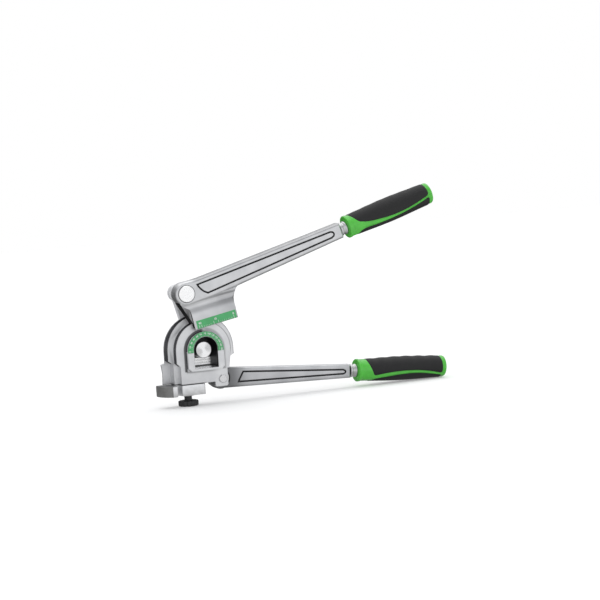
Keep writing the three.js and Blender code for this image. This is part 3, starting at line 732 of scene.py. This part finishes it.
def make_web():
    """Web between beam and shoe, set back behind the beam's groove and again above the shoe"""
    groove_foot, waist_top, waist_foot = -8.0, -13.0, -20.5
    set_back, waist_depth, near = 1.6, 2.0, 0.1
    web = plate(WEB_OUTLINE, WEB_FRONT, WEB_REAR)
    for level in (groove_foot, -9.5, waist_top, waist_foot):
        parts = web.verts[:] + web.edges[:] + web.faces[:]
        bmesh.ops.bisect_plane(web, geom=parts, plane_co=(0, 0, level), plane_no=(0, 0, 1))
    for vert in web.verts:
        if vert.co.y < WEB_REAR / 2:
            share = (waist_top - vert.co.z) / (waist_top - waist_foot)
            at_groove = vert.co.z > groove_foot - near
            vert.co.y += set_back if at_groove else waist_depth * min(max(share, 0.0), 1.0)
    soften(web, 0.8, 3, 50.0)
    shade_left_faces(web)
    return web


def make_upper_lever():
    """Upper lever: web, shoe, and a beam with its eye bored out for the pin's sunk head"""
    head_bore, pin_bore, front, step, rear = 10.6, 8.4, -3, 3.1, 30
    turn = Matrix.Rotation(math.radians(UPPER_TURN), 4, "Y")
    beam = lever_beam(UPPER_OUTLINE, UPPER_PANEL, UPPER_FRONT, UPPER_REAR, edge=3.0)
    whole = add(make_web(), sole())
    add(whole, beam, turn @ Matrix.Translation((0, 0, UPPER_DROP)))
    bore = spun([
        (0, front), (head_bore, front), (head_bore, step), (pin_bore, step), (pin_bore, rear),
        (0, rear),
    ], sides=96)
    # The bore's faces take the second finish, painted shade round the pin's sunk head
    for face in bore.faces:
        face.material_index = 1
    finished(
        "upper_lever_casting", carved(whole, bore), SHOE, "long_lever",
        [CAST, RECESS_SHADE, LEFT_END_SHADE], ["upper_lever"], smooth=45,
    )


def make_lower_lever():
    """Lower lever: a round root on its pin and a beam"""
    bore, rim, root = 6.3, 11.8, 13.2
    shape = spun([
        (bore, LOWER_FRONT), (rim, LOWER_FRONT), (root, 16.9), (root, 28.2), (rim, LOWER_REAR),
        (bore, LOWER_REAR), (bore, LOWER_FRONT),
    ], sides=96)
    beam = lever_beam(LOWER_OUTLINE, LOWER_PANEL, LOWER_FRONT, LOWER_REAR, edge=2.6)
    finished(
        "lower_lever_casting", add(shape, beam), LOWER_BEAM, "short_lever",
        [LOWER_CAST, RECESS_SHADE], ["lower_lever"],
    )


def make_ferrules():
    """Steel ferrules in front of the grips, with a waist between two collars"""
    before_grip = 9.2
    profile = [
        (6.6, 0), (7.9, 0), (8.4, 0.5), (8.4, 2.6), (7.5, 3.2), (7.3, 4.4), (7.5, 5.6), (8.1, 6.2),
        (8.4, 7.0), (8.4, 8.4), (7.9, 8.9), (6.6, 8.9), (6.6, 0),
    ]
    for name, place, body in (
        ("upper", UPPER_GRIP, "long_lever"), ("lower", LOWER_GRIP, "short_lever"),
    ):
        ring = spun(profile, axis="X")
        finished(
            f"{name}_ferrule_turned", ring, place @ Matrix.Translation((-before_grip, 0, 0)), body,
            [FERRULE], [f"{name}_ferrule"],
        )


def along(points, u):
    """Smooth curve through points, read at u"""
    if u <= points[0][0]:
        return points[0][1]
    if u >= points[-1][0]:
        return points[-1][1]
    i = max(k for k in range(len(points) - 1) if points[k][0] <= u)
    (u0, v0), (u1, v1) = points[i], points[i + 1]
    before = points[i - 1] if i > 0 else (2 * u0 - u1, 2 * v0 - v1)
    after = points[i + 2] if i + 2 < len(points) else (2 * u1 - u0, 2 * v1 - v0)
    span = u1 - u0
    slope0 = (v1 - before[1]) / (u1 - before[0])
    slope1 = (after[1] - v0) / (after[0] - u0)
    t = (u - u0) / span
    return (
        (2 * t ** 3 - 3 * t ** 2 + 1) * v0 + (t ** 3 - 2 * t ** 2 + t) * span * slope0
        + (3 * t ** 2 - 2 * t ** 3) * v1 + (t ** 3 - t ** 2) * span * slope1
    )


def grip_radius(u):
    """Radius of the grip over its pads at a place along it"""
    return GRIP_WAIST + GRIP_BELLY * math.sin(math.pi * min(max(u / GRIP_LENGTH, 0.0), 1.0)) ** 2


def under_radius(u):
    """Radius of the green core under the pads"""
    return grip_radius(u) - PAD_DEPTH


def swell(distance, width, low, high):
    """Height of a pillowed edge at a distance in from its outline"""
    share = min(max(distance / width, 0.0), 1.0)
    return low + (high - low) * math.sqrt(1 - (1 - share) ** 2)


def inside(across, around, corner):
    """Distance in from the outline of an area with rounded corners"""
    if across < corner and around < corner:
        return corner - math.hypot(corner - across, corner - around)
    return min(across, around)


def patch(columns, rows, place):
    """Closed skin over a grid, put where place says for two shares from 0 to 1"""
    thickness = 1.2
    shape = bmesh.new()
    bmesh.ops.create_grid(shape, x_segments=columns, y_segments=rows, size=0.5)
    for vert in shape.verts:
        vert.co = place(vert.co.x + 0.5, vert.co.y + 0.5)
    outward(shape)
    outwards = sum(
        face.normal.dot(face.calc_center_median() * Vector((0, 1, 1))) for face in shape.faces
    )
    if outwards < 0:
        bmesh.ops.reverse_faces(shape, faces=shape.faces)
    bmesh.ops.solidify(shape, geom=shape.faces[:], thickness=thickness)
    return shape


def pad(edge, side, start_far, start_near, wave):
    """Rubber pad over the top (side 1) or under the grip (side -1), ending at the stripe's edge"""
    corner, swell_width, sink, wave_length = 4.0, 2.4, 0.7, 17.5
    end_gap, edge_gap, overlap = 2.2, 0.25, 0.6
    first, last = start_far - 2, GRIP_END - 1.5

    def reach(u):
        return math.pi / 2 - side * math.asin(along(edge, u) / grip_radius(u))

    def place(s, t):
        u = first + s * (last - first)
        radius = grip_radius(u)
        turn = (2 * t - 1) * (reach(u) + overlap / radius)
        share = (1 - math.cos(turn)) / max(1 - math.cos(reach(u)), 0.01)
        start = start_far + (start_near - start_far) * share
        across = min(u - start, GRIP_END - end_gap - u)
        around = (reach(u) - abs(turn)) * radius - edge_gap
        height = swell(inside(across, around, corner), swell_width, -sink, PAD_DEPTH)
        ripple = 0.5 - 0.5 * math.cos(2 * math.pi * u / wave_length)
        height -= wave * ripple * max(math.cos(turn), 0) ** 2
        radius = under_radius(u) + height
        return Vector((u, -radius * math.sin(turn), side * radius * math.cos(turn)))

    return patch(150, 72, place)


def stripe(high, low, side):
    """Raised green stripe between the pads, on the front (side -1) or the back (side 1)"""
    start, narrowest, sink, rise = 7, 0.3, 0.3, 0.85

    def place(s, t):
        u = start + s * (GRIP_END - start)
        radius = grip_radius(u)
        first = math.asin(along(low, u) / radius)
        last = math.asin(along(high, u) / radius)
        angle = first + (last - first) * t
        around = min(angle - first, last - angle) * radius
        wide = (last - first) * radius / 2
        height = swell(around, max(wide, narrowest), -sink, rise)
        radius = under_radius(u) + height
        return Vector((u, side * radius * math.cos(angle), radius * math.sin(angle)))

    return patch(120, 10, place)


def grip_core():
    """Green moulding of a grip: collar, core under the pads, and the ring and dish at its end"""
    collar = [(0, 0), (12.6, 0), (13.7, 0.3), (14.2, 0.9), (14.2, 3.1), (13.9, 3.8), (13.6, 4.4)]
    end = [
        (13.1, GRIP_END - 1.4), (GRIP_END_RADIUS, GRIP_END - 0.6), (GRIP_END_RADIUS, 120.0),
        (12.9, 121.1), (11.6, 121.8), (10.4, GRIP_LENGTH), (9.6, 121.6), (8.4, 121.4), (0, 121.4),
    ]
    sleeve_lift, core_start, steps = 0.45, 24, 20
    sleeve = [(grip_radius(u) - sleeve_lift, u) for u in (7, 11, 15, 19)]
    run = GRIP_END - 2 - core_start
    places = [core_start + run * i / steps for i in range(steps + 1)]
    core = [(under_radius(u), u) for u in places]
    return spun(collar + sleeve + core + end, sides=96, axis="X")


# Upper and lower edges of the green stripes: place along the grip, and height
UPPER_HIGH = [
    (6.6, 3.4), (13.9, 0.9), (22.6, -1.7), (32, -4.1), (41.4, -5.6), (55.8, -7.3), (70.8, -7.7),
    (86.6, -6.6), (102.7, -4.0), (113, -1.6), (118.6, 0),
]
UPPER_LOW = [
    (6.6, -8.6), (14.9, -8.4), (25.2, -9.4), (39.3, -10.4), (54.4, -10.5), (69.6, -10.1),
    (85.4, -8.6), (101.8, -5.9), (113, -3.2), (118.6, -1.5),
]
LOWER_HIGH = [
    (6.6, -9.6), (19.4, -8.2), (31, -6.4), (44.5, -4.4), (56.2, -3.5), (69.8, -3.1),
    (84.6, -3.8), (99.4, -5.9), (111.4, -8.2), (118.6, -9.2),
]
LOWER_LOW = [
    (6.6, -12.9), (23.2, -11.8), (32.8, -10.2), (44.5, -8.4), (56.1, -6.9), (69.8, -6.0),
    (84.6, -6.3), (99.5, -8.2), (111.3, -10.3), (118.6, -11.2),
]


def make_grips():
    """Grips of both levers. starts says where the upper and the lower pad begin, far and near."""
    for name, place, body, high, low, starts, wave in (
        ("upper", UPPER_GRIP, "long_lever", UPPER_HIGH, UPPER_LOW, (5.1, 14.1, 11.1, 16.1), 0.2),
        ("lower", LOWER_GRIP, "short_lever", LOWER_HIGH, LOWER_LOW, (10.6, 20.1, 14.6, 21.6), 0.55),
    ):
        core = grip_core()
        add(core, stripe(high, low, -1))
        add(core, stripe(high, low, 1))
        top = pad(high, 1, *starts[:2], wave)
        bottom = pad(low, -1, *starts[2:], 0.0)
        finished(f"{name}_grip_moulding", core, place, body, [GREEN], [f"{name}_grip_core"])
        finished(f"{name}_pad_over", top, place, body, [RUBBER], [f"{name}_pad_top"])
        finished(f"{name}_pad_under", bottom, place, body, [RUBBER], [f"{name}_pad_bottom"])


# Pocket of the clamp hook for the tube, as X, Y and radius, and the X of its nose
POCKET_X, POCKET_Y, POCKET_RADIUS = -35.6, 14.404, 5.415
HOOK_NOSE = -36.7


def hook_outline():
    """Outline of the clamp hook, as X and Y, curved on the left and open at the pocket"""
    front, right, rear, wall = 8.6546, -1.0, 35.3, 3
    curve_steps, pocket_steps, mouth = 12, 24, 0.2
    left, low = POCKET_X - POCKET_RADIUS, POCKET_Y - POCKET_RADIUS
    start, pull, stop = (left - 14, rear), (left - 15.4, POCKET_Y), (left - 1.5, low - wall)
    points = [(POCKET_X + POCKET_RADIUS, front), (right, front), (right, rear), start]
    for i in range(1, curve_steps + 1):
        t = i / curve_steps
        points.append(tuple(
            (1 - t) ** 2 * start[k] + 2 * t * (1 - t) * pull[k] + t ** 2 * stop[k] for k in (0, 1)
        ))
    points += [(HOOK_NOSE, low - wall), (HOOK_NOSE, low + 0.1)]
    for i in range(1, pocket_steps + 1):
        angle = -math.pi / 2 - mouth - (3 * math.pi / 2 - mouth) * i / pocket_steps
        dx, dy = POCKET_RADIUS * math.cos(angle), POCKET_RADIUS * math.sin(angle)
        points.append((POCKET_X + dx, POCKET_Y + dy))
    return points


def make_hook():
    """Clamp hook, with painted shade on its left flank"""
    top, foot, clear, flank = -40.3, -53.5, 0.5, 0.15
    hook = plate(hook_outline(), -top, -foot)
    rotated(hook, -math.pi / 2, "X")
    soften(hook, 0.7, 3, 50.0)
    for face in hook.faces:
        x, y, _ = face.calc_center_median()
        outside_pocket = math.hypot(x - POCKET_X, y - POCKET_Y) > POCKET_RADIUS + clear
        if face.normal.x < -flank and x < HOOK_NOSE and outside_pocket:
            face.material_index = 1
    finished(
        "clamp_hook_plate", hook, HEAD, "hook", [HOOK_STEEL, HOOK_FLANK_SHADE], ["clamp_hook"],
    )


def make_knob():
    """Thumb knob with flutes round its rim, and a neck"""
    flutes, flute_depth, rim = 12, 1.1, 10.5
    knob = spun([
        (0, 0), (11.0, 0), (12.0, 0.5), (12.2, 1.2), (12.2, 5.4), (11.9, 6.1), (11.0, 6.6),
        (5.6, 6.6), (4.9, 6.9), (4.6, 7.4), (4.6, 12.2), (3.3, 12.2), (3.3, 11.0), (0, 11.0),
    ], sides=12 * flutes, axis="Z")
    for vert in knob.verts:
        radius = math.hypot(vert.co.x, vert.co.y)
        if radius > rim:
            turn = math.atan2(vert.co.y, vert.co.x)
            sunk = flute_depth * (0.5 + 0.5 * math.cos(flutes * turn)) ** 3
            keep = (radius - sunk) / radius
            vert.co.x *= keep
            vert.co.y *= keep
    finished("clamp_knob_moulding", knob, KNOB, "knob", [KNOB_BLACK], ["clamp_knob"])


def numeral(words, size):
    """Figures as a thin closed plate in millimetres, facing the front"""
    curve = bpy.data.curves.new(f"figures {words}", "FONT")
    curve.body = words
    curve.size = size
    curve.align_x = "CENTER"
    curve.align_y = "CENTER"
    curve.extrude = 0.03
    curve.offset = 0.08
    holder = bpy.data.objects.new("figures", curve)
    bpy.context.scene.collection.objects.link(holder)
    bpy.context.view_layer.update()
    flat = holder.evaluated_get(bpy.context.evaluated_depsgraph_get())
    mesh = bpy.data.meshes.new_from_object(flat)
    bpy.data.objects.remove(holder)
    shape = bmesh.new()
    shape.from_mesh(mesh)
    bpy.data.meshes.remove(mesh)
    rotated(shape, math.pi / 2, "X")
    return shape


def tick(x, z, wide, tall, turn=0.0):
    """Stroke of a scale, turned by an angle in radians"""
    thick = 0.1
    shape = bmesh.new()
    bmesh.ops.create_cube(shape, size=1.0, matrix=Matrix.Diagonal((wide, thick, tall, 1)))
    rotated(shape, turn, "Y")
    bmesh.ops.translate(shape, vec=(x, 0, z), verts=shape.verts)
    return shape


# Green plates on the head and the shoe, let halfway into the metal, and their white marks
PLATE_FRONT, PLATE_REAR = -0.25, 0.25
MARK_FACE = -0.27
ARC_OUTER, ARC_INNER, ARC_SILL, WINDOW_RISE = 22.5, 15.5, -1.6, 1.3


def arch_plate():
    """Green plate round the window, with straight ends below the centre"""
    steps = 48
    points = []
    for i in range(steps + 1):
        angle = math.pi * i / steps
        points.append((ARC_OUTER * math.cos(angle), ARC_OUTER * math.sin(angle)))
    points += [(-ARC_OUTER, ARC_SILL), (-ARC_INNER, ARC_SILL)]
    for i in range(steps + 1):
        angle = math.pi * (1 - i / steps)
        rise = WINDOW_RISE + ARC_INNER * math.sin(angle)
        points.append((ARC_INNER * math.cos(angle), rise))
    points += [(ARC_INNER, ARC_SILL), (ARC_OUTER, ARC_SILL)]
    return plate(points, PLATE_FRONT, PLATE_REAR)


def make_head_scale():
    """Angle scale on the head, with a stroke every 5 degrees and figures every 15"""
    line, short, long = 0.3, (17.2, 0.7), (17.5, 1.3)
    figure_radius, figure_size = 20.1, 2.9
    finished("scale_arc_plate", arch_plate(), HEAD, "head", [SCALE], ["scale_arc"])
    marks = bmesh.new()
    for i in range(37):
        angle = math.pi * i / 36
        radius, tall = short if i % 3 else long
        x, z = -radius * math.cos(angle), radius * math.sin(angle)
        add(marks, tick(x, z, line, tall, angle - math.pi / 2))
    for i in range(13):
        angle = math.pi * i / 12
        x, z = -figure_radius * math.cos(angle), figure_radius * math.sin(angle)
        turn = Matrix.Rotation(angle - math.pi / 2, 4, "Y")
        add(marks, numeral(str(15 * i), figure_size), Matrix.Translation((x, 0, z)) @ turn)
    bmesh.ops.translate(marks, vec=(0, MARK_FACE, 0), verts=marks.verts)
    finished("scale_arc_marks", marks, HEAD, "head", [MARKS])


def make_shoe_scale():
    """Strip scale on the shoe. Strokes are given as height of their middle, width and length."""
    left, right, low, high = 2.4, 54, -44.17, -34.57
    bold, fine = (-42.2, 0.45, 3.2), (-43.0, 0.3, 1.6)
    figure_height, figure_size = -38.4, 3.6
    strip = plate(
        [(left, low), (right, low), (right, high), (left, high)], PLATE_FRONT, PLATE_REAR,
    )
    finished("shoe_scale_plate", strip, SHOE, "long_lever", [SCALE], ["shoe_scale"])
    lines = bmesh.new()
    for x in (5.2, 8.2, 24.0, 30.0, 50.5):
        add(lines, tick(x, *bold))
    for x in [11.2 + 2.2 * i for i in range(5)] + [33 + 2.4 * i for i in range(7)]:
        add(lines, tick(x, *fine))
    for x, words in ((6.6, "90"), (27.0, "45"), (50.4, "0")):
        add(lines, numeral(words, figure_size), Matrix.Translation((x, 0, figure_height)))
    bmesh.ops.translate(lines, vec=(0, MARK_FACE, 0), verts=lines.verts)
    finished("shoe_scale_marks", lines, SHOE, "long_lever", [MARKS])


def dress_plain_nodes():
    """Gives the solids that stay as they are their finishes"""
    plain = {
        LINK_CAST: ("link",),
        BRONZE: ("link_bush", "upper_bush", "lower_bush"),
        ZINC: (
            "centre_washer", "centre_ring", "upper_ring", "lower_ring", "lower_washer_front",
            "lower_washer_rear", "clamp_washer", "clamp_screw",
        ),
    }
    for finish, nodes in plain.items():
        for node in nodes:
            data = NODES[node].data
            data.materials.clear()
            data.materials.append(finish)


def make_camera():
    """Camera at the photograph's angle, a little turned about its line of sight"""
    across, height, roll = math.radians(21.8), math.radians(4), math.radians(3.85)
    focal, wide, mm_per_pixel = 1800.0, 600.0, 1.2
    head_right, head_down = 205.9, 350.2
    distance = focal * mm_per_pixel * MM
    right = Vector((math.cos(across), -math.sin(across), 0))
    ahead = Vector((
        math.sin(across) * math.cos(height), math.cos(across) * math.cos(height), -math.sin(height),
    ))
    up = right.cross(ahead)
    right, up = (
        right * math.cos(roll) - up * math.sin(roll), up * math.cos(roll) + right * math.sin(roll),
    )
    off_right, off_up = (head_right - wide / 2) / focal, (wide / 2 - head_down) / focal
    eye = HEAD.translation - (right * off_right + up * off_up + ahead) * distance
    camera = bpy.data.objects.new("camera", bpy.data.cameras.new("camera"))
    camera.data.sensor_width = 36
    camera.data.lens = camera.data.sensor_width * focal / wide
    turn = Matrix((right, up, -ahead)).transposed().to_4x4()
    camera.matrix_world = Matrix.Translation(eye) @ turn
    bpy.context.scene.collection.objects.link(camera)
    bpy.context.scene.camera = camera


def make_room():
    """Room that is bright in front and dim behind, and white where the camera sees it"""
    world = bpy.data.worlds.new("studio")
    bpy.context.scene.world = world
    sky = Finish("studio", world)
    toward = sky.node("ShaderNodeTexCoord", output="Generated")
    way = sky.node("ShaderNodeSeparateXYZ", None, {0: toward})
    across, back, up = [Signal(sky, output) for output in way.socket.node.outputs[:3]]
    front = back.within(0.35, -0.75) * (1 - 0.55 * up.within(0.1, 0.6))
    level = 0.2 + front + 0.12 * up.within(0.3, 0.9) + 0.08 * across.within(0.0, 0.8)
    room_light = {"Color": (0.97, 0.98, 1, 1), "Strength": level}
    room = sky.node("ShaderNodeBackground", None, room_light)
    white = sky.node("ShaderNodeBackground", None, {"Color": (1, 1, 1, 1), "Strength": 1.0})
    seen = sky.node("ShaderNodeLightPath", None, None, "Is Camera Ray")
    shown = sky.node("ShaderNodeMixShader", None, {0: seen, 1: room, 2: white})
    sky.node_output(shown, "ShaderNodeOutputWorld")


def make_lamp():
    """One broad lamp from above and a little behind"""
    sun = bpy.data.objects.new("broad lamp", bpy.data.lights.new("broad lamp", "SUN"))
    sun.data.energy = 1.9
    sun.data.angle = math.radians(85)
    sun.rotation_euler = Vector((-0.1, -0.4, -1)).to_track_quat("-Z", "Y").to_euler()
    bpy.context.scene.collection.objects.link(sun)


def make_floor():
    """Pale floor. Metal mirrors it as light in front of the tool and dark behind."""
    half, level, white = 6.0, -0.0004, (1, 1, 1, 1)
    floor = bmesh.new()
    bmesh.ops.create_grid(floor, x_segments=1, y_segments=1, size=half)
    bmesh.ops.translate(floor, vec=(0, 0, level), verts=floor.verts)
    mesh = bpy.data.meshes.new("floor")
    floor.to_mesh(mesh)
    floor.free()
    ground = bpy.data.objects.new("floor", mesh)
    bpy.context.scene.collection.objects.link(ground)
    pale = Finish("studio floor")
    _, back, _ = pale.axes()
    seen = pale.node("ShaderNodeLightPath", None, None, "Is Camera Ray")
    mirrored = pale.node("ShaderNodeLightPath", None, None, "Is Glossy Ray")
    diffuse = pale.node("ShaderNodeBsdfDiffuse", None, {"Color": (0.8, 0.8, 0.8, 1)})
    glow = pale.node("ShaderNodeEmission", None, {"Color": white, "Strength": seen * 0.25})
    lit = pale.node("ShaderNodeAddShader", None, {0: diffuse, 1: glow})
    mirror_light = 0.05 + 0.95 * back.within(0.25, -0.3)
    reflected = pale.node("ShaderNodeEmission", None, {"Color": white, "Strength": mirror_light})
    pale.node_output(pale.node("ShaderNodeMixShader", None, {0: mirrored, 1: lit, 2: reflected}))
    mesh.materials.append(pale.material)


bpy.context.scene.view_settings.view_transform = "Standard"
make_camera()
make_room()
make_lamp()
make_floor()
make_head()
make_pins()
make_upper_lever()
make_lower_lever()
make_ferrules()
make_grips()
make_hook()
make_knob()
make_head_scale()
make_shoe_scale()
dress_plain_nodes()
